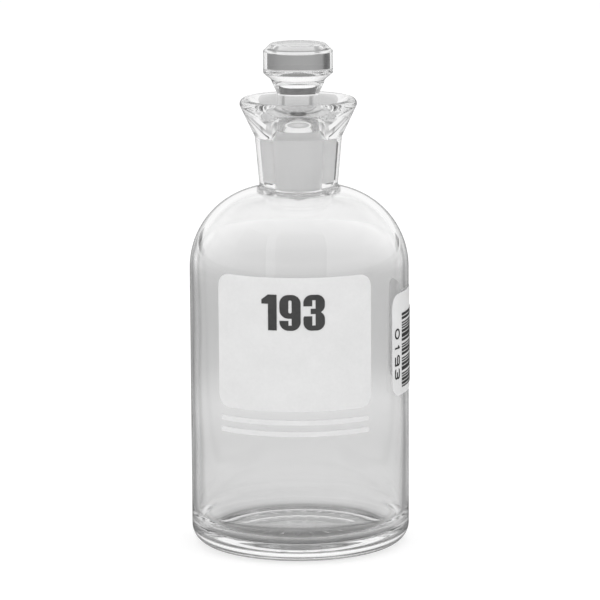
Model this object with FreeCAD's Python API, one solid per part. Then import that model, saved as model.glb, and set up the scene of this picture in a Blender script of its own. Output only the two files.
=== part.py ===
import FreeCAD
import Part

import math
import os

# An incubation bottle of clear moulded glass for 300 mL, with a flared mouth that holds a
# water seal, a ground taper neck and a solid ground stopper. White enamel patches and dark
# print are fired onto its side.
# Millimetres, +Z up. The origin is the centre of the ring that the bottle stands on.
# The front of the bottle, with the large patch, faces -Y. Azimuth 0 is the front, 90 is +X.

# Body of the bottle
body_radius = 33.5
wall = 2.1
heel_radius = 5.5
foot_ring_width = 1.9
foot_ring_edge_fillet = 0.8
push_up_height = 1.9
floor_thickness = 3.4
floor_crown = 0.7
floor_corner_radius = 6.5
shoulder_start_z = 85.6
shoulder_arc_radius = 24.75

# Raised marks that the mould leaves under the base
mould_dot_radius = 0.75
mould_dot_height = 0.35
mould_dot_ring_radius = 4.2
mould_dot_count = 5
mould_dash_length = 3.2
mould_dash_width = 0.9
mould_dash_height = 0.3
mould_dash_ring_radius = 18.6
mould_dash_count = 24

# Neck and mouth of the bottle
neck_foot_radius = 11.85
neck_foot_fillet = 1.2
neck_top_radius = 13.25
flare_drop = 0.75
flare_foot_fillet = 1.0
rim_radius = 17.8
rim_bead_radius = 1.6
mouth_depth = 9.2
mouth_heading_deg = 62.0
mouth_foot_fillet = 0.8

# Ground taper, shared by the neck and the stopper: 1 in 10 on the diameter
taper_per_side = 0.05
ground_top_radius = 7.8
ground_length = 14.55
ground_clearance = 0.05
neck_entry_radius = 7.4
neck_entry_height = 4.0
neck_entry_fillet = 1.2

# Stopper
plug_length = 17.0
plug_end_chamfer = 0.9
plug_end_fillet = 0.6
plug_tip_height = 2.1
plug_shoulder_height = 2.5
plug_shoulder_fillet = 0.8
stem_radius = 6.45
stem_height = 9.95
stem_fillet = 2.4
head_radius = 10.55
head_cone_height = 4.35
head_lower_chamfer_width = 2.2
head_lower_chamfer_height = 1.85
head_side_height = 6.65
head_upper_chamfer_width = 2.2
head_upper_chamfer_height = 2.15
head_edge_fillet = 0.35

# Fired enamel and the print on it
enamel_gap = 0.05
enamel_thickness = 0.15
print_thickness = 0.08

front_patch_width = 50.2
front_patch_height = 40.8
front_patch_middle_z = 67.7
patch_corner_radius = 4.0

number_text = "193"
number_height = 10.85
number_width = 6.35
number_one_width = 4.6
number_spacing = 0.85
number_drop = 5.1

line_length = 48.6
line_height = 1.5
line_pitch = 3.5
line_drop = 2.7
line_corner_radius = 0.5
line_count = 2

side_patch_azimuth_deg = 90.0
side_patch_width = 35.5
side_patch_height = 31.5
side_patch_middle_z = 64.0

bar_unit = 0.395
bar_length = 22.9
bar_rise = -2.1
# Bars and the bare stretches between them, by turns, from the top down. It is made up
bar_pattern = (2, 1, 2, 2, 1, 1, 1, 1, 1, 1, 2, 1, 3, 1, 2, 2, 1, 1, 1, 1, 2,
               1, 2, 2, 1, 1, 1, 1, 2, 1, 3, 2, 1, 1, 1, 1, 2, 1, 2, 1, 1)

digit_text = "0193"
digit_height = 3.0
digit_width = 3.3
digit_stroke = 0.5
digit_pitch = 4.12
digit_inset = 3.05
digit_rise = -2.7

up = FreeCAD.Vector(0, 0, 1)
forward = FreeCAD.Vector(0, 1, 0)
origin = FreeCAD.Vector(0, 0, 0)


# Drawing in the plane of a turned profile, where a point is (radius, height)

def on_profile(point):
    return FreeCAD.Vector(point[0], 0, point[1])


def straight(start, end):
    return Part.LineSegment(on_profile(start), on_profile(end)).toShape()


def arc_through(start, middle, end):
    return Part.Arc(on_profile(start), on_profile(middle), on_profile(end)).toShape()


def on_circle(centre, radius, degrees):
    angle = math.radians(degrees)
    return (centre[0] + radius * math.cos(angle), centre[1] + radius * math.sin(angle))


def arc_about(centre, radius, start_deg, end_deg):
    return arc_through(on_circle(centre, radius, start_deg),
                       on_circle(centre, radius, (start_deg + end_deg) / 2),
                       on_circle(centre, radius, end_deg))


def arc_leaving(start, heading_deg, end):
    # An arc from start to end whose first direction is heading_deg
    chord = (end[0] - start[0], end[1] - start[1])
    chord_length = math.hypot(*chord)
    turn_deg = math.degrees(math.atan2(chord[1], chord[0])) % 360 - heading_deg
    radius = chord_length / (2 * math.sin(math.radians(turn_deg)))
    centre = on_circle(start, radius, heading_deg + 90)
    return arc_through(start, on_circle(centre, -radius, heading_deg + 90 + turn_deg), end)


def crowned(edge_point, rise):
    # A shallow arc from a point to the axis, rise higher, where it is level
    sphere_radius = (edge_point[0] ** 2 + rise ** 2) / (2 * rise)
    half_way = edge_point[0] / 2
    middle_z = edge_point[1] + rise - sphere_radius + math.sqrt(sphere_radius ** 2 - half_way ** 2)
    return arc_through(edge_point, (half_way, middle_z), (0, edge_point[1] + rise))


def turned(edges):
    face = Part.Face(Part.Wire(Part.__sortEdges__(edges)))
    return face.revolve(origin, up, 360)


def closed_polygon(points):
    return [straight(a, b) for a, b in zip(points, points[1:] + points[:1])]


def circle_edges(solid, place, reach=0.02):
    # The round edges of a turned solid at one radius and height
    found = []
    for edge in solid.Edges:
        if edge.Degenerated or not isinstance(edge.Curve, Part.Circle):
            continue
        off = (edge.Curve.Radius - place[0], edge.Curve.Center.z - place[1])
        if math.hypot(*off) < reach:
            found.append(edge)
    return found


def rounded(solid, place, fillet):
    return solid.makeFillet(fillet, circle_edges(solid, place))


# Bottle: one piece of glass, drawn as an outer and an inner skin

shoulder_centre = (body_radius - shoulder_arc_radius, shoulder_start_z)
inner_radius = body_radius - wall
inner_shoulder_radius = shoulder_arc_radius - wall
foot_ring_inner_radius = body_radius - heel_radius - foot_ring_width
floor_edge_z = push_up_height + floor_thickness - floor_crown


def shoulder_point(radius, arc_radius):
    angle = math.acos((radius - shoulder_centre[0]) / arc_radius)
    return on_circle(shoulder_centre, arc_radius, math.degrees(angle))


def shoulder_arc(arc_radius, end_radius):
    end_deg = math.degrees(math.acos((end_radius - shoulder_centre[0]) / arc_radius))
    return arc_about(shoulder_centre, arc_radius, 0, end_deg)


neck_foot = shoulder_point(neck_foot_radius, shoulder_arc_radius)
neck_entry = shoulder_point(neck_entry_radius, inner_shoulder_radius)
ground_bottom_z = neck_entry[1] + neck_entry_height
ground_top_z = ground_bottom_z + ground_length
ground_top = (ground_top_radius, ground_top_z)
ground_bottom = (ground_top_radius - taper_per_side * ground_length, ground_bottom_z)
neck_top = (neck_top_radius, ground_top_z - flare_drop)
bead_centre = (rim_radius - rim_bead_radius, ground_top_z + mouth_depth)


def flare_touch_deg():
    # Where the straight outside of the flare runs into the rim bead
    across = bead_centre[0] - neck_top[0]
    rise = bead_centre[1] - neck_top[1]
    bearing = math.degrees(math.atan2(rise, across))
    return bearing - 180 + math.degrees(math.acos(rim_bead_radius / math.hypot(across, rise)))


def outer_skin():
    touch_deg = flare_touch_deg()
    heel_centre = (body_radius - heel_radius, heel_radius)
    return [
        crowned((foot_ring_inner_radius, 0), push_up_height),
        straight((foot_ring_inner_radius, 0), (heel_centre[0], 0)),
        arc_about(heel_centre, heel_radius, -90, 0),
        straight((body_radius, heel_radius), (body_radius, shoulder_start_z)),
        shoulder_arc(shoulder_arc_radius, neck_foot_radius),
        straight(neck_foot, neck_top),
        straight(neck_top, on_circle(bead_centre, rim_bead_radius, touch_deg)),
        arc_about(bead_centre, rim_bead_radius, touch_deg, 180 - mouth_heading_deg),
    ]


def inner_skin():
    mouth_start = on_circle(bead_centre, rim_bead_radius, 180 - mouth_heading_deg)
    return [
        arc_leaving(mouth_start, 270 - mouth_heading_deg, ground_top),
        straight(ground_top, ground_bottom),
        straight(ground_bottom, neck_entry),
        shoulder_arc(inner_shoulder_radius, neck_entry_radius),
        straight((inner_radius, shoulder_start_z), (inner_radius, floor_edge_z)),
        crowned((inner_radius, floor_edge_z), floor_crown),
        straight((0, floor_edge_z + floor_crown), (0, push_up_height)),
    ]


def push_up_z(radius):
    sphere_radius = (foot_ring_inner_radius ** 2 + push_up_height ** 2) / (2 * push_up_height)
    return push_up_height - sphere_radius + math.sqrt(sphere_radius ** 2 - radius ** 2)


def mould_dot(turn_deg):
    # A ball sunk into the glass, so that only a low round cap stands out under the push-up
    ball_radius = (mould_dot_radius ** 2 + mould_dot_height ** 2) / (2 * mould_dot_height)
    middle_z = push_up_z(mould_dot_ring_radius) - mould_dot_height + ball_radius
    place = on_circle((0, 0), mould_dot_ring_radius, turn_deg)
    return Part.makeSphere(ball_radius, FreeCAD.Vector(place[0], place[1], middle_z))


def mould_dash(turn_deg):
    # A short raised bar under the push-up, along a radius
    inner_end = mould_dash_ring_radius - mould_dash_length / 2
    lowest_z = push_up_z(mould_dash_ring_radius) - mould_dash_height
    dash = Part.makeBox(mould_dash_length, mould_dash_width, 3 * mould_dash_height,
                        FreeCAD.Vector(inner_end, -mould_dash_width / 2, lowest_z))
    middle_z = lowest_z + mould_dash_height / 2
    lower_edges = [edge for edge in dash.Edges if edge.BoundBox.ZMax < middle_z]
    dash = dash.makeChamfer(mould_dash_height / 2, lower_edges)
    dash.rotate(origin, up, turn_deg)
    return dash


def make_bottle():
    bottle = turned(outer_skin() + inner_skin())
    bottle = rounded(bottle, neck_foot, neck_foot_fillet)
    bottle = rounded(bottle, neck_top, flare_foot_fillet)
    bottle = rounded(bottle, neck_entry, neck_entry_fillet)
    bottle = rounded(bottle, ground_top, mouth_foot_fillet)
    bottle = rounded(bottle, (inner_radius, floor_edge_z), floor_corner_radius)
    bottle = rounded(bottle, (foot_ring_inner_radius, 0), foot_ring_edge_fillet)
    marks = [mould_dot(360 * index / mould_dot_count) for index in range(mould_dot_count)]
    marks += [mould_dash(360 * index / mould_dash_count) for index in range(mould_dash_count)]
    return bottle.fuse(marks)


# Stopper: one solid piece of glass, ground on its plug

def make_stopper():
    plug_top = (ground_top_radius - ground_clearance, ground_top_z)
    plug_bottom = (plug_top[0] - taper_per_side * plug_length, ground_top_z - plug_length)
    plug_edge = (plug_bottom[0] - plug_end_chamfer, plug_bottom[1] - plug_end_chamfer)
    stem_foot = (stem_radius, ground_top_z + plug_shoulder_height)
    stem_top = (stem_radius, stem_foot[1] + stem_height)
    head_foot = (head_radius - head_lower_chamfer_width, stem_top[1] + head_cone_height)
    side_foot = (head_radius, head_foot[1] + head_lower_chamfer_height)
    side_top = (head_radius, side_foot[1] + head_side_height)
    crown_edge = (head_radius - head_upper_chamfer_width, side_top[1] + head_upper_chamfer_height)
    outline = [(0, plug_edge[1] - plug_tip_height), plug_edge, plug_bottom, plug_top, stem_foot,
               stem_top, head_foot, side_foot, side_top, crown_edge, (0, crown_edge[1])]
    stopper = turned(closed_polygon(outline))
    stopper = rounded(stopper, plug_edge, plug_end_fillet)
    stopper = rounded(stopper, stem_foot, plug_shoulder_fillet)
    stopper = rounded(stopper, stem_top, stem_fillet)
    for corner in (head_foot, side_foot, side_top, crown_edge):
        stopper = rounded(stopper, corner, head_edge_fillet)
    return stopper


# Enamel: thin skins that follow the outside of the glass

def skin_section(low_z, high_z, lift, thickness):
    # The edges of a skin's section. Above the shoulder's start it bends in with the shoulder
    near = body_radius + lift
    far = near + thickness
    if high_z <= shoulder_start_z:
        return closed_polygon([(near, low_z), (far, low_z), (far, high_z), (near, high_z)])
    end_deg = math.degrees(math.asin((high_z - shoulder_start_z) / shoulder_arc_radius))
    near_arc = shoulder_arc_radius + lift
    far_arc = near_arc + thickness
    return [
        straight((near, shoulder_start_z), (near, low_z)),
        straight((near, low_z), (far, low_z)),
        straight((far, low_z), (far, shoulder_start_z)),
        arc_about(shoulder_centre, far_arc, 0, end_deg),
        straight(on_circle(shoulder_centre, far_arc, end_deg),
                 on_circle(shoulder_centre, near_arc, end_deg)),
        arc_about(shoulder_centre, near_arc, end_deg, 0),
    ]


def skin(low_z, high_z, start_deg, end_deg, lift, thickness):
    edges = skin_section(low_z, high_z, lift, thickness)
    face = Part.Face(Part.Wire(Part.__sortEdges__(edges)))
    band = face.revolve(origin, up, end_deg - start_deg)
    band.rotate(origin, up, start_deg - 90)
    return band


def corner_cutter(corner_deg, corner_z, across, rise, radius):
    # What rounds one corner of a patch. across and rise are 1 or -1 and point out of it
    depth = body_radius / 2
    block = Part.makeBox(2 * radius, depth, 2 * radius,
                         FreeCAD.Vector(-radius, -body_radius - depth / 2, -radius))
    block.translate(FreeCAD.Vector(across * radius, 0, rise * radius))
    kept = Part.makeCylinder(radius, depth, FreeCAD.Vector(0, -body_radius - depth / 2, 0), forward)
    cutter = block.cut(kept)
    cutter.translate(FreeCAD.Vector(0, 0, corner_z - rise * radius))
    cutter.rotate(origin, up, corner_deg - across * math.degrees(radius / body_radius))
    return cutter


def patch(width, height, middle_z, azimuth_deg, corner_radius):
    half_turn = math.degrees(width / 2 / body_radius)
    low_z = middle_z - height / 2
    high_z = middle_z + height / 2
    enamel = skin(low_z, high_z, azimuth_deg - half_turn, azimuth_deg + half_turn,
                  enamel_gap, enamel_thickness)
    cutters = []
    for across in (-1, 1):
        for rise, corner_z in ((-1, low_z), (1, high_z)):
            cutters.append(corner_cutter(azimuth_deg + across * half_turn, corner_z,
                                         across, rise, corner_radius))
    return enamel.cut(cutters)


def make_front_lines():
    top_z = front_patch_middle_z - front_patch_height / 2 - line_drop
    lines = []
    for index in range(line_count):
        lines.append(patch(line_length, line_height, top_z - line_height / 2 - line_pitch * index,
                           0, line_corner_radius))
    return Part.makeCompound(lines)


# Print: figures are drawn flat in front of the bottle, then cut out of a thin skin

print_lift = enamel_gap + enamel_thickness + enamel_gap
skin_spare = 1.0


def block(left, bottom, right, top, corner=0):
    # A flat block seen from the front, through the whole front half of the body
    solid = Part.makeBox(right - left, 2 * body_radius, top - bottom,
                         FreeCAD.Vector(left, -2 * body_radius, bottom))
    if corner <= 0:
        return solid
    long_edges = [edge for edge in solid.Edges if edge.BoundBox.YLength > body_radius]
    return solid.makeFillet(corner, long_edges)


def heavy_one(width, height):
    # Flag and stem, with the flag's slope
    stem = block(0.43 * width, 0, width, height)
    flag = block(0, 0.74 * height, 0.5 * width, 0.855 * height)
    corners = [(0, 0.855), (0.43, 1), (0.66, 1), (0.5, 0.855)]
    points = [FreeCAD.Vector(x * width, 0, z * height) for x, z in corners]
    slope = Part.Face(Part.makePolygon(points + points[:1])).extrude(-2 * body_radius * forward)
    return stem.fuse([flag, slope])


def heavy_nine(width, height):
    stroke = 0.42 * width
    slot = 0.58 * width
    bend = 0.42 * width
    bowl = block(0, 0.338 * height, width, height, bend)
    foot = block(0, 0, width, 0.6 * height, bend)
    foot = foot.cut(block(-width, 0.274 * height, slot, height))
    stem = block(slot, 0.25 * height, width, 0.75 * height)
    counter = block(stroke, 0.486 * height, slot, 0.852 * height, 0.45 * (slot - stroke))
    lower_slot = block(stroke, 0.141 * height, slot, 0.338 * height)
    return bowl.fuse([foot, stem]).cut([counter, lower_slot])


def heavy_three(width, height):
    stroke = 0.41 * width
    slot = 0.57 * width
    bend = 0.38 * width
    upper = block(0, 0.48 * height, width, height, bend)
    lower = block(0, 0, width, 0.54 * height, bend)
    waist = block(0.34 * width, 0.465 * height, 0.8 * width, 0.612 * height)
    upper_gap = block(-width, 0.612 * height, slot, 0.683 * height)
    lower_gap = block(-width, 0.401 * height, slot, 0.465 * height)
    between = block(-width, 0.401 * height, 0.34 * width, 0.683 * height)
    upper_slot = block(stroke, 0.612 * height, slot, 0.852 * height)
    lower_slot = block(stroke, 0.141 * height, slot, 0.465 * height)
    figure = upper.fuse([lower, waist])
    return figure.cut([upper_gap, lower_gap, between, upper_slot, lower_slot])


def ring(left, bottom, right, top, stroke):
    bend = 0.49 * min(right - left, top - bottom)
    hole = block(left + stroke, bottom + stroke, right - stroke, top - stroke, bend - stroke)
    return block(left, bottom, right, top, bend).cut(hole)


def thin_zero(width, height, stroke):
    return ring(0, 0, width, height, stroke)


def thin_one(width, height, stroke):
    stem = block(width / 2, 0, width / 2 + stroke, height)
    return stem.fuse(block(width / 2 - stroke, height - 2 * stroke, width / 2, height - stroke))


def thin_nine(width, height, stroke):
    bowl = ring(0, 0.42 * height, width, height, stroke)
    stem = block(width - stroke, stroke, width, 0.7 * height)
    return bowl.fuse([stem, block(stroke, 0, width, stroke)])


def thin_three(width, height, stroke):
    upper = ring(0, (height - stroke) / 2, width, height, stroke)
    lower = ring(0, 0, width, (height + stroke) / 2, stroke)
    opening = block(-width, 0.2 * height, width / 2, 0.8 * height)
    bar = block(0.35 * width, (height - stroke) / 2, 0.7 * width, (height + stroke) / 2)
    return upper.fuse(lower).cut(opening).fuse(bar)


heavy_figures = {"1": heavy_one, "9": heavy_nine, "3": heavy_three}
thin_figures = {"0": thin_zero, "1": thin_one, "9": thin_nine, "3": thin_three}


def onto_skin(figure, azimuth_deg):
    # Cuts a figure that stands in front of the body out of the print's skin, then turns it.
    # The skin reaches past the figure by skin_spare on every side
    box = figure.BoundBox
    reach = max(-box.XMin, box.XMax) + skin_spare
    half_turn = math.degrees(math.asin(reach / body_radius))
    sheet = skin(box.ZMin - skin_spare, box.ZMax + skin_spare, -half_turn, half_turn,
                 print_lift, print_thickness)
    printed = sheet.common(figure)
    printed.rotate(origin, up, azimuth_deg)
    return printed.Solids


def make_front_number():
    widths = [number_one_width if digit == "1" else number_width for digit in number_text]
    left = -(sum(widths) + number_spacing * (len(widths) - 1)) / 2
    bottom_z = front_patch_middle_z + front_patch_height / 2 - number_drop - number_height
    solids = []
    for digit, width in zip(number_text, widths):
        figure = heavy_figures[digit](width, number_height)
        figure.translate(FreeCAD.Vector(left, 0, bottom_z))
        solids += onto_skin(figure, 0)
        left += width + number_spacing
    return Part.makeCompound(solids)


def make_side_bars():
    half_turn = math.degrees(bar_length / 2 / body_radius)
    top_z = side_patch_middle_z + bar_rise + bar_unit * sum(bar_pattern) / 2
    bars = []
    for index, units in enumerate(bar_pattern):
        bottom_z = top_z - units * bar_unit
        if index % 2 == 0:
            bars.append(skin(bottom_z, top_z, side_patch_azimuth_deg - half_turn,
                             side_patch_azimuth_deg + half_turn, print_lift, print_thickness))
        top_z = bottom_z
    return Part.makeCompound(bars)


def make_side_digits():
    # They stand inset from the patch's edge and read from the top down, heads towards the bars
    inset_deg = math.degrees((side_patch_width / 2 - digit_inset) / body_radius)
    middle_z = side_patch_middle_z + digit_rise + digit_pitch * (len(digit_text) - 1) / 2
    solids = []
    for digit in digit_text:
        figure = thin_figures[digit](digit_width, digit_height, digit_stroke)
        figure.translate(FreeCAD.Vector(-digit_width / 2, 0, -digit_height / 2))
        figure.rotate(origin, forward, 90)
        figure.translate(FreeCAD.Vector(0, 0, middle_z))
        solids += onto_skin(figure, side_patch_azimuth_deg - inset_deg)
        middle_z -= digit_pitch
    return Part.makeCompound(solids)


def save(name, shape):
    shape.exportStep(os.path.join("parts", name + ".step"))
    print(name, "valid", shape.isValid(), "solids", len(shape.Solids),
          "volume", round(shape.Volume, 2))


os.makedirs("parts", exist_ok=True)
save("bottle", make_bottle())
save("stopper", make_stopper())
save("front_patch", patch(front_patch_width, front_patch_height, front_patch_middle_z, 0,
                          patch_corner_radius))
save("front_number", make_front_number())
save("front_lines", make_front_lines())
save("side_patch", patch(side_patch_width, side_patch_height, side_patch_middle_z,
                         side_patch_azimuth_deg, patch_corner_radius))
save("side_bars", make_side_bars())
save("side_digits", make_side_digits())
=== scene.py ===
import math

import bmesh
import bpy
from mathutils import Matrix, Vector


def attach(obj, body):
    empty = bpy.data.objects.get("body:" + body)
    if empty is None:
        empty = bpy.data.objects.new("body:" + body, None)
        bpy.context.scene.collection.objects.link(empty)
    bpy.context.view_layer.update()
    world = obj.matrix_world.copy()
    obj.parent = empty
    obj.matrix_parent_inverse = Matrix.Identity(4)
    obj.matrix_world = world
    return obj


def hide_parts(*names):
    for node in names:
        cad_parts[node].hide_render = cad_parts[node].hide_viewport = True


# A clear glass incubation bottle with its ground stopper, on a pale floor.
# Lengths are in millimetres where no note says metres, and mm turns them into Blender's metres.

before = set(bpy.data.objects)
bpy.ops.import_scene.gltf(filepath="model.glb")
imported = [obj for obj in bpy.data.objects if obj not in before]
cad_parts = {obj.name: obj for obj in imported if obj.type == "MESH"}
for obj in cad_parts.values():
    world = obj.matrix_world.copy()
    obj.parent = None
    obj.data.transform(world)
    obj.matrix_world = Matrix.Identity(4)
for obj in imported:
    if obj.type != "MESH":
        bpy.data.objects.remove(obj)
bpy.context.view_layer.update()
mm = 0.001
tiny = 1e-6             # points nearer than this are one
print("frame loaded:", len(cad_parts), "nodes")


# Camera: the photograph's viewing angle, pitched so that the whole bottle is in view

cameraSetup = {
    "distance": 1217.8,     # from the bottle's axis, level
    "height": 306.5,        # above the floor
    "azimuth": 3.3,         # degrees towards the side patch
    "aimHeight": 75.1,
    "aimRight": 0.2,
    "lens": 242.5,
    "sensor": 36,
    "roll": -0.33,          # degrees
    "clip": (0.05, 50),     # metres
}


def makeCamera(setup):
    camera = bpy.data.objects.new("mainCamera", bpy.data.cameras.new("mainCamera"))
    bpy.context.scene.collection.objects.link(camera)
    turn = math.radians(setup["azimuth"])
    right = Vector((math.cos(turn), math.sin(turn), 0))
    back = Vector((math.sin(turn), -math.cos(turn), 0))
    camera.location = (back * setup["distance"] + Vector((0, 0, setup["height"]))) * mm
    aim = (right * setup["aimRight"] + Vector((0, 0, setup["aimHeight"]))) * mm
    look = (aim - camera.location).to_track_quat("-Z", "Y")
    camera.rotation_euler = look.to_euler()
    camera.rotation_euler.rotate_axis("Z", math.radians(setup["roll"]))
    camera.data.sensor_width = setup["sensor"]
    camera.data.lens = setup["lens"]
    camera.data.clip_start, camera.data.clip_end = setup["clip"]
    bpy.context.scene.camera = camera


makeCamera(cameraSetup)
print("camera placed")


# Outlines: half sections as lists of (radius, height), in millimetres

def arc(centre, radius, startDeg, endDeg, steps):
    points = []
    for step in range(steps + 1):
        angle = math.radians(startDeg + (endDeg - startDeg) * step / steps)
        points.append((centre[0] + radius * math.cos(angle), centre[1] + radius * math.sin(angle)))
    return points


def line(start, end, longest):
    # Points from start to end, no further apart than longest
    steps = max(1, math.ceil(math.dist(start, end) / longest))
    return [(start[0] + (end[0] - start[0]) * step / steps,
             start[1] + (end[1] - start[1]) * step / steps) for step in range(steps + 1)]


def crown(edgeRadius, edgeHeight, rise, radii):
    # A shallow spherical crown, at those radii, from its edge to the axis
    ball = (edgeRadius ** 2 + rise ** 2) / (2 * rise)
    return [(radius, edgeHeight + rise - ball + math.sqrt(ball ** 2 - radius ** 2)) for radius in radii]


def spread(start, end, longest):
    # Values from start to end, no further apart than longest
    steps = max(1, math.ceil(abs(end - start) / longest))
    return [start + (end - start) * step / steps for step in range(steps + 1)]


def joined(*runs):
    # One outline from several runs. A point that repeats the last one is dropped
    points = []
    for run in runs:
        for point in run:
            if not points or math.dist(points[-1], point) > tiny:
                points.append(point)
    return points


def pointAlong(points, index, length, way):
    # The place that lies length along the outline from a corner, and the index beyond it
    here = index
    left = length
    while 0 <= here + way < len(points):
        span = math.dist(points[here], points[here + way])
        if span >= left:
            share = left / span
            a, b = points[here], points[here + way]
            return (a[0] + (b[0] - a[0]) * share, a[1] + (b[1] - a[1]) * share), here + way
        left -= span
        here += way
    return points[here], here + way


def soften(points, corner, radius, steps=8):
    # Rounds the outline at the point nearest corner with an arc of that radius
    index = min(range(len(points)), key=lambda i: math.dist(points[i], corner))
    before, at, after = points[index - 1], points[index], points[index + 1]
    inward = Vector((at[0] - before[0], at[1] - before[1])).normalized()
    outward = Vector((after[0] - at[0], after[1] - at[1])).normalized()
    turn = inward.angle(outward)
    reach = radius * math.tan(turn / 2)
    start, keepTo = pointAlong(points, index, reach, -1)
    end, keepFrom = pointAlong(points, index, reach, 1)
    weight = math.cos(turn / 2)
    rounded = []
    for step in range(steps + 1):
        t = step / steps
        a, b, c = (1 - t) ** 2, 2 * t * (1 - t) * weight, t ** 2
        total = a + b + c
        rounded.append(((a * start[0] + b * at[0] + c * end[0]) / total,
                        (a * start[1] + b * at[1] + c * end[1]) / total))
    return joined(points[:keepTo + 1], rounded, points[keepFrom:])


# Bottle

bottleShape = {
    "bodyRadius": 33.5,
    "wall": 2.1,
    "heelRadius": 5.5,
    "footRingWidth": 1.9,
    "footRingEdge": 0.8,
    "pushUp": 1.9,
    "floorThickness": 3.4,
    "floorCrown": 0.7,
    "floorCorner": 6.5,
    "shoulderStart": 85.6,
    "shoulderRadius": 24.75,
    "neckFootRadius": 11.85,
    "neckFootEdge": 1.2,
    "neckTopRadius": 13.25,
    "flareDrop": 0.75,
    "flareFootEdge": 1.0,
    "rimRadius": 17.8,
    "beadRadius": 1.6,
    "mouthDepth": 9.2,
    "mouthHeading": 62.0,   # degrees
    "mouthFootEdge": 0.8,
    "groundTopRadius": 7.8,
    "groundLength": 14.55,
    "taper": 0.05,          # radius lost for each millimetre down the ground neck
    "entryRadius": 7.4,
    "entryHeight": 4.0,
    "entryEdge": 1.2,
    "waviness": 0.03,       # of the moulded inside, which fire polish leaves
    "waveEase": 20,         # how far it takes to fade above the floor and below the neck
    # Marks that the mould leaves under the push-up
    "dotRadius": 0.75,
    "dotHeight": 0.35,
    "dotRing": 4.2,
    "dotCount": 5,
    "dashLength": 3.2,
    "dashWidth": 0.9,
    "dashHeight": 0.3,
    "dashEdge": 0.15,       # width of the slope round a dash
    "dashRing": 18.6,
    "dashCount": 24,
    # How finely the mesh follows the form: steps in an arc, or the longest step in a line
    "segments": 240,        # round the axis, and twice as many round the ring of dashes
    "footRingSteps": 4,
    "heelSteps": 14,
    "shoulderSteps": 34,
    "mouthSteps": 22,
    "floorCornerSteps": 14,
    "bodyStep": 2.5,
    "neckStep": 1.5,
    "groundStep": 1.0,
    "floorStep": 1.3,
    "centreStep": 0.9,
    "dotStep": 0.14,
    "dotSpare": 0.1,        # fine steps reach that far past the marks
    "dashStep": 0.2,
    "dashSpare": 0.3,
}


def shoulderSpot(shape, radius, arcRadius):
    centre = (shape["bodyRadius"] - shape["shoulderRadius"], shape["shoulderStart"])
    angle = math.acos((radius - centre[0]) / arcRadius)
    return (radius, centre[1] + arcRadius * math.sin(angle)), math.degrees(angle)


def bottlePlaces(shape):
    # The named heights and corners that the outline and the stopper share
    entry, _ = shoulderSpot(shape, shape["entryRadius"], shape["shoulderRadius"] - shape["wall"])
    groundBottom = entry[1] + shape["entryHeight"]
    groundTop = groundBottom + shape["groundLength"]
    return {
        "entry": entry,
        "groundBottom": (shape["groundTopRadius"] - shape["taper"] * shape["groundLength"],
                         groundBottom),
        "groundTop": (shape["groundTopRadius"], groundTop),
        "neckTop": (shape["neckTopRadius"], groundTop - shape["flareDrop"]),
        "bead": (shape["rimRadius"] - shape["beadRadius"], groundTop + shape["mouthDepth"]),
    }


def dashZone(shape):
    half = shape["dashLength"] / 2 + shape["dashSpare"]
    return shape["dashRing"] - half, shape["dashRing"] + half


def pushUpRadii(shape, ringRadius):
    # From the axis out, close together where the marks stand
    reach = shape["dotRadius"] + shape["dotSpare"]
    dotLow, dotHigh = shape["dotRing"] - reach, shape["dotRing"] + reach
    low, high = dashZone(shape)
    radii = spread(0, dotLow, shape["centreStep"])
    radii += spread(dotLow, dotHigh, shape["dotStep"])
    radii += spread(dotHigh, low, shape["floorStep"])
    radii += spread(low, high, shape["dashStep"])
    radii += spread(high, ringRadius, shape["floorStep"])
    return sorted(set(radii))


def markHeight(shape, x, y):
    # How far the mould's marks stand out under the push-up at that place
    radius, angle = math.hypot(x, y), math.atan2(y, x)
    low, high = dashZone(shape)
    if low < radius < high:
        step = 2 * math.pi / shape["dashCount"]
        across = abs(angle - step * round(angle / step)) * radius
        along = abs(radius - shape["dashRing"])
        inside = min(shape["dashWidth"] / 2 - across, shape["dashLength"] / 2 - along)
        rise = min(1, max(0, inside / shape["dashEdge"] + 0.5))
        return shape["dashHeight"] * rise * rise * (3 - 2 * rise)
    step = 2 * math.pi / shape["dotCount"]
    turn = step * round(angle / step)
    away = math.hypot(x - shape["dotRing"] * math.cos(turn), y - shape["dotRing"] * math.sin(turn))
    if away > shape["dotRadius"]:
        return 0
    ball = (shape["dotRadius"] ** 2 + shape["dotHeight"] ** 2) / (2 * shape["dotHeight"])
    return shape["dotHeight"] - ball + math.sqrt(ball ** 2 - away ** 2)


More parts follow.
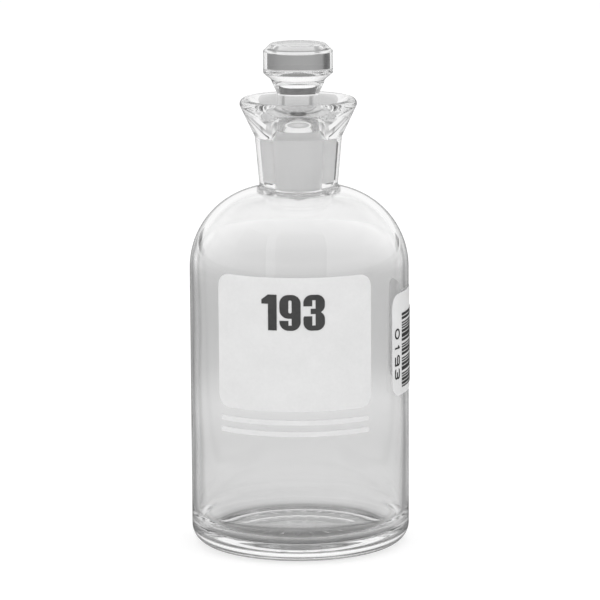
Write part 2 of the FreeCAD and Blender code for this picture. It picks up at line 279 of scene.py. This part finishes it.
def outsideOutline(shape):
    places = bottlePlaces(shape)
    body, heel = shape["bodyRadius"], shape["heelRadius"]
    ringRadius = body - heel - shape["footRingWidth"]
    centre = (body - shape["shoulderRadius"], shape["shoulderStart"])
    foot, footAngle = shoulderSpot(shape, shape["neckFootRadius"], shape["shoulderRadius"])
    bead, neckTop = places["bead"], places["neckTop"]
    across, rise = bead[0] - neckTop[0], bead[1] - neckTop[1]
    touch = (math.degrees(math.atan2(rise, across)) - 180
             + math.degrees(math.acos(shape["beadRadius"] / math.hypot(across, rise))))
    beadArc = arc(bead, shape["beadRadius"], touch, 180 - shape["mouthHeading"], shape["mouthSteps"])
    points = joined(
        crown(ringRadius, 0, shape["pushUp"], pushUpRadii(shape, ringRadius)),
        [(body - heel, 0)],
        arc((body - heel, heel), heel, -90, 0, shape["heelSteps"]),
        line((body, heel), (body, shape["shoulderStart"]), shape["bodyStep"]),
        arc(centre, shape["shoulderRadius"], 0, footAngle, shape["shoulderSteps"]),
        line(foot, neckTop, shape["neckStep"]),
        line(neckTop, beadArc[0], shape["neckStep"]),
        beadArc,
    )
    points = soften(points, (ringRadius, 0), shape["footRingEdge"], shape["footRingSteps"])
    points = soften(points, foot, shape["neckFootEdge"])
    return soften(points, neckTop, shape["flareFootEdge"])


def mouthArc(shape, start, end):
    # Leaves the bead smoothly and sweeps down to the top of the ground neck
    heading = 270 - shape["mouthHeading"]
    chord = (end[0] - start[0], end[1] - start[1])
    turn = math.degrees(math.atan2(chord[1], chord[0])) % 360 - heading
    radius = math.hypot(*chord) / (2 * math.sin(math.radians(turn)))
    side = math.radians(heading + 90)
    centre = (start[0] + radius * math.cos(side), start[1] + radius * math.sin(side))
    return arc(centre, radius, heading - 90, heading - 90 + 2 * turn, shape["mouthSteps"])


def insideOutline(shape):
    places = bottlePlaces(shape)
    bead = places["bead"]
    startAngle = math.radians(180 - shape["mouthHeading"])
    start = (bead[0] + shape["beadRadius"] * math.cos(startAngle),
             bead[1] + shape["beadRadius"] * math.sin(startAngle))
    innerRadius = shape["bodyRadius"] - shape["wall"]
    arcRadius = shape["shoulderRadius"] - shape["wall"]
    centre = (shape["bodyRadius"] - shape["shoulderRadius"], shape["shoulderStart"])
    _, entryAngle = shoulderSpot(shape, shape["entryRadius"], arcRadius)
    floorEdge = shape["pushUp"] + shape["floorThickness"] - shape["floorCrown"]
    points = joined(
        mouthArc(shape, start, places["groundTop"]),
        line(places["groundTop"], places["groundBottom"], shape["groundStep"]),
        line(places["groundBottom"], places["entry"], shape["groundStep"]),
        arc(centre, arcRadius, entryAngle, 0, shape["shoulderSteps"]),
        line((innerRadius, shape["shoulderStart"]), (innerRadius, floorEdge), shape["bodyStep"]),
        crown(innerRadius, floorEdge, shape["floorCrown"], spread(innerRadius, 0, shape["floorStep"])),
    )
    points = soften(points, places["groundTop"], shape["mouthFootEdge"])
    points = soften(points, places["entry"], shape["entryEdge"])
    return soften(points, (innerRadius, floorEdge), shape["floorCorner"], shape["floorCornerSteps"])


def latheMesh(name, outline, segmentsOf, materialOf, moved=None):
    # Turns an outline round the Z axis. The first and the last point may lie on the axis.
    # A ring may have twice as many segments as its neighbour
    mesh = bpy.data.meshes.new(name)
    built = bmesh.new()
    rings = []
    for index, (radius, height) in enumerate(outline):
        count = segmentsOf(index, radius) if radius > tiny else 1
        ring = []
        for segment in range(count):
            angle = 2 * math.pi * segment / count
            out, up = moved(index, angle, radius, height) if moved else (radius, height)
            ring.append(built.verts.new((out * math.cos(angle) * mm, out * math.sin(angle) * mm,
                                         up * mm)))
        rings.append(ring)
    for index, (lower, upper) in enumerate(zip(rings, rings[1:])):
        middle = ((outline[index][0] + outline[index + 1][0]) / 2,
                  (outline[index][1] + outline[index + 1][1]) / 2)
        for corners in ringFaces(lower, upper):
            face = built.faces.new(corners)
            face.smooth = True
            face.material_index = materialOf(index, middle)
    bmesh.ops.recalc_face_normals(built, faces=built.faces)
    built.to_mesh(mesh)
    built.free()
    return mesh


def ringFaces(lower, upper):
    # The faces between two rings of equal counts, one of twice the other's, or one single point
    if len(lower) > len(upper):
        return [tuple(reversed(corners)) for corners in ringFaces(upper, lower)]
    faces = []
    count = len(upper)
    ratio = count // len(lower)
    for segment in range(len(lower) if len(lower) > 1 else count):
        after = (segment + 1) % count
        if len(lower) == 1:
            faces.append((lower[0], upper[after], upper[segment]))
        elif ratio == 1:
            faces.append((lower[segment], lower[after], upper[after], upper[segment]))
        else:
            here, beyond = lower[segment], lower[(segment + 1) % len(lower)]
            first, second, third = (upper[(2 * segment + step) % count] for step in range(3))
            faces += [(here, second, first), (here, beyond, second), (beyond, third, second)]
    return faces


def addPiece(name, mesh, materials, body, nodes):
    piece = bpy.data.objects.new(name, mesh)
    bpy.context.scene.collection.objects.link(piece)
    for material in materials:
        mesh.materials.append(material)
    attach(piece, body)
    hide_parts(*nodes)


# Materials

def newMaterial(name):
    material = bpy.data.materials.new(name)
    material.use_nodes = True
    tree = material.node_tree
    tree.nodes.clear()
    output = tree.nodes.new("ShaderNodeOutputMaterial")
    return material, tree, output


def rescaled(tree, value, low, high):
    # 0 at low, 1 at high, and no further
    level = tree.nodes.new("ShaderNodeMapRange")
    level.inputs["From Min"].default_value = low
    level.inputs["From Max"].default_value = high
    tree.links.new(value, level.inputs["Value"])
    return level.outputs["Result"]


noiseDetail = {"Slow Scale": 2, "Fine Scale": 4}
noiseReach = (0.3, 0.7)         # nearly all of the noise lies in it


def makeReliefGroup():
    # Slow and fine unevenness, shared by every material, each with its own values
    group = bpy.data.node_groups.new("surfaceRelief", "ShaderNodeTree")
    face = group.interface
    for name in ("Slow Scale", "Fine Scale", "Fine Share", "Upright Stretch", "Height",
                 "Lowest Roughness", "Highest Roughness"):
        face.new_socket(name, in_out="INPUT", socket_type="NodeSocketFloat")
    face.new_socket("Variation", in_out="OUTPUT", socket_type="NodeSocketFloat")
    face.new_socket("Roughness", in_out="OUTPUT", socket_type="NodeSocketFloat")
    face.new_socket("Normal", in_out="OUTPUT", socket_type="NodeSocketVector")
    given = group.nodes.new("NodeGroupInput")
    result = group.nodes.new("NodeGroupOutput")
    place = group.nodes.new("ShaderNodeTexCoord")
    stretch = group.nodes.new("ShaderNodeCombineXYZ")
    stretch.inputs["X"].default_value = 1
    stretch.inputs["Y"].default_value = 1
    group.links.new(given.outputs["Upright Stretch"], stretch.inputs["Z"])
    spot = group.nodes.new("ShaderNodeVectorMath")
    spot.operation = "MULTIPLY"
    group.links.new(place.outputs["Object"], spot.inputs[0])
    group.links.new(stretch.outputs["Vector"], spot.inputs[1])
    layers = []
    for scale, detail in noiseDetail.items():
        noise = group.nodes.new("ShaderNodeTexNoise")
        noise.inputs["Detail"].default_value = detail
        group.links.new(spot.outputs["Vector"], noise.inputs["Vector"])
        group.links.new(given.outputs[scale], noise.inputs["Scale"])
        layers.append(noise.outputs["Fac"])
    both = group.nodes.new("ShaderNodeMix")
    group.links.new(given.outputs["Fine Share"], both.inputs["Factor"])
    group.links.new(layers[0], both.inputs["A"])
    group.links.new(layers[1], both.inputs["B"])
    level = rescaled(group, both.outputs["Result"], *noiseReach)
    rough = group.nodes.new("ShaderNodeMapRange")
    group.links.new(level, rough.inputs["Value"])
    group.links.new(given.outputs["Lowest Roughness"], rough.inputs["To Min"])
    group.links.new(given.outputs["Highest Roughness"], rough.inputs["To Max"])
    bump = group.nodes.new("ShaderNodeBump")
    group.links.new(level, bump.inputs["Height"])
    group.links.new(given.outputs["Height"], bump.inputs["Distance"])
    group.links.new(level, result.inputs["Variation"])
    group.links.new(rough.outputs["Result"], result.inputs["Roughness"])
    group.links.new(bump.outputs["Normal"], result.inputs["Normal"])
    return group


reliefGroup = makeReliefGroup()


def addRelief(tree, shader, values):
    # The relief group in one material, led to its shader
    relief = tree.nodes.new("ShaderNodeGroup")
    relief.node_tree = reliefGroup
    for name, value in values.items():
        relief.inputs[name].default_value = value
    tree.links.new(relief.outputs["Roughness"], shader.inputs["Roughness"])
    tree.links.new(relief.outputs["Normal"], shader.inputs["Normal"])
    return relief


def greyRamp(tree, value, stops):
    ramp = tree.nodes.new("ShaderNodeValToRGB")
    while len(ramp.color_ramp.elements) < len(stops):
        ramp.color_ramp.elements.new(0.5)
    for element, (spot, grey) in zip(ramp.color_ramp.elements, stops):
        element.position = spot
        element.color = (grey, grey, grey, 1)
    tree.links.new(value, ramp.inputs["Fac"])
    return ramp.outputs["Color"]


def blend(tree, share, usual, special):
    # The special colour where share is 1, for instance for one kind of ray, else the usual one.
    # A Mix node's colour sockets come after those for numbers and vectors, under the same names
    mix = tree.nodes.new("ShaderNodeMix")
    mix.data_type = "RGBA"
    tree.links.new(share, mix.inputs["Factor"])
    for socket, colour in ((mix.inputs[6], usual), (mix.inputs[7], special)):
        if isinstance(colour, (int, float)):
            socket.default_value = (colour, colour, colour, 1)
        else:
            tree.links.new(colour, socket)
    return mix.outputs[2]


glassFinish = {
    "indexOfRefraction": 1.5,
    "lampShare": 0.93,          # of a lamp's light that one surface lets through
    # What one more surface lets through, by how often the light has bounced before
    "longPath": [(0, 1.0), (8, 1.0), (16, 0.7), (28, 0.5)],
    "longest": 32,
    "relief": {"Slow Scale": 45, "Fine Scale": 160, "Fine Share": 0.15, "Upright Stretch": 0.6,
               "Height": 0.00001, "Lowest Roughness": 0.0, "Highest Roughness": 0.012},
}

groundFinish = {
    "whiteness": 0.7,           # how far the ground faces scatter light like frost
    "darker": 0.96,
    "lighter": 1.0,
    # Upright Stretch above 1 draws the grinding marks out round the neck
    "relief": {"Slow Scale": 150, "Fine Scale": 700, "Fine Share": 0.4, "Upright Stretch": 9,
               "Height": 0.00001, "Lowest Roughness": 0.4, "Highest Roughness": 0.52},
}


def glassShader(tree, output, transmission):
    # Principled glass that lets lamps through, so that its shadow stays light
    glass = tree.nodes.new("ShaderNodeBsdfPrincipled")
    glass.inputs["Base Color"].default_value = (1, 1, 1, 1)
    glass.inputs["Transmission Weight"].default_value = transmission
    glass.inputs["IOR"].default_value = glassFinish["indexOfRefraction"]
    clear = tree.nodes.new("ShaderNodeBsdfTransparent")
    clear.inputs["Color"].default_value = (glassFinish["lampShare"],) * 3 + (1,)
    path = tree.nodes.new("ShaderNodeLightPath")
    mix = tree.nodes.new("ShaderNodeMixShader")
    tree.links.new(path.outputs["Is Shadow Ray"], mix.inputs["Fac"])
    tree.links.new(glass.outputs["BSDF"], mix.inputs[1])
    tree.links.new(clear.outputs["BSDF"], mix.inputs[2])
    tree.links.new(mix.outputs["Shader"], output.inputs["Surface"])
    return glass, path


def makeClearGlass(finish):
    material, tree, output = newMaterial("clearGlass")
    glass, path = glassShader(tree, output, 1.0)
    share = rescaled(tree, path.outputs["Ray Depth"], 0, finish["longest"])
    tint = greyRamp(tree, share, [(depth / finish["longest"], grey) for depth, grey in finish["longPath"]])
    tree.links.new(tint, glass.inputs["Base Color"])
    addRelief(tree, glass, finish["relief"])
    return material


def makeGroundGlass(finish):
    material, tree, output = newMaterial("groundGlass")
    glass, _ = glassShader(tree, output, 1 - finish["whiteness"])
    relief = addRelief(tree, glass, finish["relief"])
    frost = greyRamp(tree, relief.outputs["Variation"], [(0, finish["darker"]), (1, finish["lighter"])])
    tree.links.new(frost, glass.inputs["Base Color"])
    return material


clearGlass = makeClearGlass(glassFinish)
groundGlass = makeGroundGlass(groundFinish)


# Slow waves in the moulded inside of the wall. Each goes round it count times, leans as it
# rises, and swells and fades up the wall. Angles are in radians, and for each millimetre up
wallWaves = [
    {"strength": 1.0, "count": 2, "lean": 0.05, "start": 0.6, "swell": 0.09, "from": math.pi / 2},
    {"strength": 0.6, "count": 3, "lean": -0.11, "start": 0.0, "swell": 0.05, "from": 1.1},
    {"strength": 0.4, "count": 5, "lean": 0.17, "start": 2.0, "swell": 0.0, "from": math.pi / 2},
]


def wave(angle, height):
    total = 0
    for each in wallWaves:
        around = math.sin(each["count"] * angle + each["lean"] * height + each["start"])
        total += each["strength"] * around * math.sin(each["swell"] * height + each["from"])
    return bottleShape["waviness"] * total


def makeBottle(shape):
    places = bottlePlaces(shape)
    outside = outsideOutline(shape)
    inside = insideOutline(shape)
    outline = joined(outside, inside)
    firstInside = len(outside) - 1
    low, high = places["groundBottom"][1], places["groundTop"][1]
    dashLow, dashHigh = dashZone(shape)

    def underside(index, radius):
        return index < firstInside / 2 and radius < dashHigh + tiny

    def segmentsOf(index, radius):
        fine = underside(index, radius) and radius > dashLow - tiny
        return shape["segments"] * (2 if fine else 1)

    def materialOf(index, middle):
        return 1 if index > firstInside and low < middle[1] < high else 0

    def moved(index, angle, radius, height):
        if underside(index, radius):
            lift = markHeight(shape, radius * math.cos(angle), radius * math.sin(angle))
            return radius, height - lift
        top = places["entry"][1]
        if index > firstInside and radius > shape["neckTopRadius"] and height < top:
            ease = min(height - shape["floorCorner"], top - height) / shape["waveEase"]
            return radius + wave(angle, height) * min(1, max(0, ease)), height
        return radius, height

    mesh = latheMesh("bottleGlass", outline, segmentsOf, materialOf, moved)
    addPiece("bottleGlass", mesh, [clearGlass, groundGlass], "bottle", ["bottle"])


makeBottle(bottleShape)
print("bottle made")


# Stopper

stopperShape = {
    "clearance": 0.05,
    "plugLength": 17.0,
    "plugEndChamfer": 0.9,
    "plugEndEdge": 0.6,
    "plugEdge": 0.25,
    "tipHeight": 2.1,
    "shoulderHeight": 2.5,
    "shoulderEdge": 0.8,
    "stemRadius": 6.45,
    "stemHeight": 9.95,
    "stemEdge": 2.4,
    "headRadius": 10.55,
    "coneHeight": 4.35,
    "lowerChamferWidth": 2.2,
    "lowerChamferHeight": 1.85,
    "sideHeight": 6.65,
    "upperChamferWidth": 2.2,
    "upperChamferHeight": 2.15,
    "headEdge": 0.35,
    "segments": 192,
    "longestStep": 1.2,
    "edgeSteps": 6,
}


def stopperOutline(shape, places):
    top = (places["groundTop"][0] - shape["clearance"], places["groundTop"][1])
    bottom = (top[0] - bottleShape["taper"] * shape["plugLength"], top[1] - shape["plugLength"])
    edge = (bottom[0] - shape["plugEndChamfer"], bottom[1] - shape["plugEndChamfer"])
    stemFoot = (shape["stemRadius"], top[1] + shape["shoulderHeight"])
    stemTop = (shape["stemRadius"], stemFoot[1] + shape["stemHeight"])
    headFoot = (shape["headRadius"] - shape["lowerChamferWidth"],
                stemTop[1] + shape["coneHeight"])
    sideFoot = (shape["headRadius"], headFoot[1] + shape["lowerChamferHeight"])
    sideTop = (shape["headRadius"], sideFoot[1] + shape["sideHeight"])
    crownEdge = (shape["headRadius"] - shape["upperChamferWidth"],
                 sideTop[1] + shape["upperChamferHeight"])
    corners = [(0, edge[1] - shape["tipHeight"]), edge, bottom, top, stemFoot, stemTop, headFoot,
               sideFoot, sideTop, crownEdge, (0, crownEdge[1])]
    points = joined(*[line(a, b, shape["longestStep"]) for a, b in zip(corners, corners[1:])])
    edges = {"plugEndEdge": (edge,), "plugEdge": (bottom, top), "shoulderEdge": (stemFoot,),
             "stemEdge": (stemTop,), "headEdge": (headFoot, sideFoot, sideTop, crownEdge)}
    for name, softened in edges.items():
        for corner in softened:
            points = soften(points, corner, shape[name], shape["edgeSteps"])
    return points, bottom, top


def makeStopper(shape):
    outline, bottom, top = stopperOutline(shape, bottlePlaces(bottleShape))

    def materialOf(index, middle):
        return 1 if bottom[1] < middle[1] < top[1] else 0

    def segmentsOf(index, radius):
        return shape["segments"]

    mesh = latheMesh("stopperGlass", outline, segmentsOf, materialOf)
    addPiece("stopperGlass", mesh, [clearGlass, groundGlass], "stopper", ["stopper"])


makeStopper(stopperShape)
print("stopper made")


# Enamel, fired onto the glass in slightly uneven coats

printRelief = {"Slow Scale": 250, "Fine Scale": 1500, "Fine Share": 0.5, "Upright Stretch": 1,
               "Height": 0.00001, "Lowest Roughness": 0.4, "Highest Roughness": 0.6}

enamelCoats = {
    "whiteEnamel": {
        "nodes": ("front_patch", "front_lines", "side_patch"),
        "darker": 0.75,
        "lighter": 0.8,
        "behind": 1.0,          # painted light: a lighter tone for its shaded back, as it shows through the glass
        "relief": {"Slow Scale": 120, "Fine Scale": 900, "Fine Share": 0.45, "Upright Stretch": 1,
                   "Height": 0.00002, "Lowest Roughness": 0.36, "Highest Roughness": 0.52},
    },
    "darkPrint": {
        "nodes": ("front_number",),
        "darker": 0.045,
        "lighter": 0.065,
        "behind": 0.06,
        "relief": printRelief,
    },
    "blackPrint": {
        "nodes": ("side_bars", "side_digits"),
        "darker": 0.02,
        "lighter": 0.035,
        "behind": 0.03,
        "relief": printRelief,
    },
}


def makeEnamel(name, coat):
    material, tree, output = newMaterial(name)
    paint = tree.nodes.new("ShaderNodeBsdfPrincipled")
    relief = addRelief(tree, paint, coat["relief"])
    shade = greyRamp(tree, relief.outputs["Variation"], [(0, coat["darker"]), (1, coat["lighter"])])
    # Seen through the glass, a coat takes its behind tone: painted light on the white enamel's shaded back
    path = tree.nodes.new("ShaderNodeLightPath")
    colour = blend(tree, path.outputs["Is Transmission Ray"], shade, coat["behind"])
    tree.links.new(colour, paint.inputs["Base Color"])
    tree.links.new(paint.outputs["BSDF"], output.inputs["Surface"])
    for node in coat["nodes"]:
        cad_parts[node].data.materials.clear()
        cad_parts[node].data.materials.append(material)


for name, coat in enamelCoats.items():
    makeEnamel(name, coat)
print("enamel made")


# Floor, with its lengths in metres

floorSetup = {
    "size": 8.0,
    "drop": 0.0002,             # just clear of the foot ring
    "colour": 0.45,             # as the camera sees it, with the glow
    "glow": 0.6,
    "mirrored": 0.12,           # a painted dark reflection, as polished glass mirrors it
    "lamplit": 0.8,             # as the enamel is lit by it
    # Painted light and shade as seen through the glass, with a painted shadow just inside the foot ring:
    # distance from the bottle's axis, and tone
    "lightAndShadeThroughGlass": [(0.0, 0.6), (0.01, 0.5), (0.015, 0.28), (0.022, 0.35), (0.027, 0.5),
                     (0.031, 0.74), (0.037, 0.75), (0.05, 0.655), (0.065, 0.635), (0.1, 0.625),
                     (0.143, 0.575), (0.205, 0.65), (0.27, 0.505), (0.345, 0.48), (0.43, 0.49),
                     (0.495, 0.6), (0.58, 0.68), (0.7, 0.77), (1.0, 0.97), (1.95, 0.97)],
    "reach": 1.95,
    # Share of that tone from far left, 0, over straight behind, 0.5, to far right, 1: two strips
    # of painted shade that only the outer edges of the wall show. They fade within asideFrom of the axis
    "asideFrom": 0.06,
    "aside": [(0.22, 1.0), (0.25, 0.9), (0.28, 0.52), (0.31, 0.55), (0.335, 1.0),
              (0.665, 1.0), (0.69, 0.55), (0.72, 0.52), (0.75, 0.9), (0.78, 1.0)],
    "front": 0.68,              # painted shade before the bottle, which the stopper's top shows
    "frontFrom": -0.01,         # it sets in between these two places on the Y axis
    "frontTo": -0.05,
}


def makeFloor(setup):
    mesh = bpy.data.meshes.new("floor")
    half = setup["size"] / 2
    mesh.from_pydata([(-half, -half, 0), (half, -half, 0), (half, half, 0), (-half, half, 0)],
                     [], [(0, 1, 2, 3)])
    floor = bpy.data.objects.new("floor", mesh)
    bpy.context.scene.collection.objects.link(floor)
    floor.location.z = -setup["drop"]
    material, tree, output = newMaterial("floorPaper")
    place = tree.nodes.new("ShaderNodeNewGeometry")
    length = tree.nodes.new("ShaderNodeVectorMath")
    length.operation = "LENGTH"
    tree.links.new(place.outputs["Position"], length.inputs[0])
    # The tones that only the glass sees are painted light and shade round the bottle
    along = greyRamp(tree, rescaled(tree, length.outputs["Value"], 0, setup["reach"]),
                     [(spot / setup["reach"], grey) for spot, grey in setup["lightAndShadeThroughGlass"]])
    split = tree.nodes.new("ShaderNodeSeparateXYZ")
    tree.links.new(place.outputs["Position"], split.inputs[0])
    longer = tree.nodes.new("ShaderNodeMath")
    longer.inputs[1].default_value = setup["asideFrom"]
    tree.links.new(length.outputs["Value"], longer.inputs[0])
    across = tree.nodes.new("ShaderNodeMath")
    across.operation = "DIVIDE"
    tree.links.new(split.outputs["X"], across.inputs[0])
    tree.links.new(longer.outputs["Value"], across.inputs[1])
    aside = greyRamp(tree, rescaled(tree, across.outputs["Value"], -1, 1), setup["aside"])
    through = tree.nodes.new("ShaderNodeVectorMath")
    through.operation = "MULTIPLY"
    tree.links.new(along, through.inputs[0])
    tree.links.new(aside, through.inputs[1])
    before = rescaled(tree, split.outputs["Y"], setup["frontFrom"], setup["frontTo"])
    around = blend(tree, before, through.outputs["Vector"], setup["front"])
    path = tree.nodes.new("ShaderNodeLightPath")
    colour = blend(tree, path.outputs["Is Camera Ray"], setup["lamplit"], setup["colour"])
    colour = blend(tree, path.outputs["Is Glossy Ray"], colour, setup["mirrored"])
    colour = blend(tree, path.outputs["Is Transmission Ray"], colour, around)
    paint = tree.nodes.new("ShaderNodeBsdfDiffuse")
    tree.links.new(colour, paint.inputs["Color"])
    glow = tree.nodes.new("ShaderNodeEmission")
    level = tree.nodes.new("ShaderNodeMath")
    level.operation = "MULTIPLY"
    level.inputs[1].default_value = setup["glow"]
    tree.links.new(path.outputs["Is Camera Ray"], level.inputs[0])
    tree.links.new(level.outputs["Value"], glow.inputs["Strength"])
    both = tree.nodes.new("ShaderNodeAddShader")
    tree.links.new(paint.outputs["BSDF"], both.inputs[0])
    tree.links.new(glow.outputs["Emission"], both.inputs[1])
    tree.links.new(both.outputs["Shader"], output.inputs["Surface"])
    mesh.materials.append(material)


makeFloor(floorSetup)
print("floor laid")


# Curved cards behind the bottle, which only show through the glass and glow though they are no lamps: a
# grey one paints shade on the side of the stopper's head, a dark one paints shade on the top of its stem,
# and a pale one paints light in the mouth.
# Their lengths are in metres, and their angles in degrees from straight behind to the right

cardSetup = {
    "greyCard": {
        "radius": 0.3,
        "from": -60,
        "to": 47,
        "bottom": 0.097,
        "top": 0.121,
        # Place on the X axis, and tone
        "tones": [(-0.255, 0.15), (-0.222, 0.1), (-0.195, 0.12), (-0.168, 0.3), (-0.09, 0.36),
                  (0.0, 0.36), (0.1, 0.31), (0.156, 0.25), (0.21, 0.24)],
    },
    "darkCard": {
        "radius": 0.05,
        "from": -45,
        "to": 45,
        "bottom": 0.149,
        "top": 0.157,
        "endRise": 0.02,        # the top edge curves up to both ends, which the stem flattens
        "tone": 0.14,
    },
    "paleCard": {
        "radius": 0.05,
        "from": -60,
        "to": 60,
        "bottom": 0.095,
        "top": 0.111,
        "tone": 0.97,
    },
}


def makeCard(name, setup, steps=48):
    # A curved top edge is lowest straight behind the bottle as the camera sees it
    corners = []
    for step in range(steps + 1):
        degrees = setup["from"] + (setup["to"] - setup["from"]) * step / steps
        across = setup["radius"] * math.sin(math.radians(degrees))
        behind = setup["radius"] * math.cos(math.radians(degrees))
        fromMiddle = (degrees + cameraSetup["azimuth"]) / setup["to"]
        rise = setup.get("endRise", 0) * fromMiddle ** 2
        corners += [(across, behind, setup["bottom"]), (across, behind, setup["top"] + rise)]
    mesh = bpy.data.meshes.new(name)
    mesh.from_pydata(corners, [], [(2 * step, 2 * step + 2, 2 * step + 3, 2 * step + 1)
                                   for step in range(steps)])
    card = bpy.data.objects.new(name, mesh)
    bpy.context.scene.collection.objects.link(card)
    material, tree, output = newMaterial(name)
    glow = tree.nodes.new("ShaderNodeEmission")
    tree.links.new(glow.outputs["Emission"], output.inputs["Surface"])
    if "tone" in setup:
        glow.inputs["Color"].default_value = (setup["tone"],) * 3 + (1,)
    else:
        place = tree.nodes.new("ShaderNodeNewGeometry")
        split = tree.nodes.new("ShaderNodeSeparateXYZ")
        tree.links.new(place.outputs["Position"], split.inputs[0])
        first, last = setup["tones"][0][0], setup["tones"][-1][0]
        tones = greyRamp(tree, rescaled(tree, split.outputs["X"], first, last),
                         [((spot - first) / (last - first), grey) for spot, grey in setup["tones"]])
        tree.links.new(tones, glow.inputs["Color"])
    mesh.materials.append(material)
    card.visible_camera = False
    card.visible_glossy = False
    card.visible_diffuse = False
    card.visible_shadow = False


for name, setup in cardSetup.items():
    makeCard(name, setup)
print("cards placed")


# World: tones by the sine of the height above the horizon, as they show through the glass,
# behind and before the bottle, and as the glass mirrors them

worldSetup = {
    "ambient": 0.85,
    "turnover": 0.05,           # behind gives way to before within this of the X axis
    "behind": [(0.0, 1.0), (0.45, 1.0), (0.55, 0.6), (0.62, 0.22), (1.0, 0.12)],
    "before": [(0.0, 1.0), (0.4, 1.0), (0.6, 0.3), (1.0, 0.12)],
    "mirrored": [(0.0, 0.2), (0.08, 0.3), (0.105, 0.85), (0.3, 0.9), (0.42, 0.5), (0.55, 0.8),
                 (0.75, 1.0), (1.0, 0.9)],
}


def makeWorld(setup):
    world = bpy.data.worlds.new("studio")
    bpy.context.scene.world = world
    world.use_nodes = True
    tree = world.node_tree
    tree.nodes.clear()
    output = tree.nodes.new("ShaderNodeOutputWorld")
    shine = tree.nodes.new("ShaderNodeBackground")
    place = tree.nodes.new("ShaderNodeTexCoord")
    split = tree.nodes.new("ShaderNodeSeparateXYZ")
    tree.links.new(place.outputs["Generated"], split.inputs[0])
    behind, before, mirrored = (greyRamp(tree, split.outputs["Z"], setup[name])
                                for name in ("behind", "before", "mirrored"))
    side = rescaled(tree, split.outputs["Y"], setup["turnover"], -setup["turnover"])
    through = blend(tree, side, behind, before)
    path = tree.nodes.new("ShaderNodeLightPath")
    colour = blend(tree, path.outputs["Is Camera Ray"], setup["ambient"], 1.0)
    colour = blend(tree, path.outputs["Is Glossy Ray"], colour, mirrored)
    colour = blend(tree, path.outputs["Is Transmission Ray"], colour, through)
    tree.links.new(colour, shine.inputs["Color"])
    tree.links.new(shine.outputs["Background"], output.inputs["Surface"])


makeWorld(worldSetup)


# Lamps, with their lengths in metres

lampSetup = {
    "topLamp": {"place": (0, 0.2, 1.6), "aim": (0, 0, 0.05), "size": (1.2, 1.2), "watts": 6},
    "leftLamp": {"place": (-1.3, -0.9, 0.9), "aim": (0, 0, 0.07), "size": (0.8, 1.0), "watts": 5},
    "rightLamp": {"place": (1.3, -0.8, 0.8), "aim": (0, 0, 0.07), "size": (0.8, 1.0), "watts": 4},
}
bounces = 64            # with fewer, the thick edges of the glass turn black


def addLamp(name, setup):
    data = bpy.data.lights.new(name, "AREA")
    data.shape = "RECTANGLE"
    data.size, data.size_y = setup["size"]
    data.energy = setup["watts"]
    lamp = bpy.data.objects.new(name, data)
    bpy.context.scene.collection.objects.link(lamp)
    lamp.location = setup["place"]
    beam = Vector(setup["aim"]) - Vector(setup["place"])
    lamp.rotation_euler = beam.to_track_quat("-Z", "Y").to_euler()
    lamp.visible_glossy = False         # a broad soft light with no window in the glass
    lamp.visible_transmission = False


for name, setup in lampSetup.items():
    addLamp(name, setup)
print("world and lamps lit")

cycles = bpy.context.scene.cycles
cycles.max_bounces = bounces
cycles.transmission_bounces = bounces
cycles.glossy_bounces = bounces
bpy.context.scene.view_settings.view_transform = "Standard"
print("scene ready")
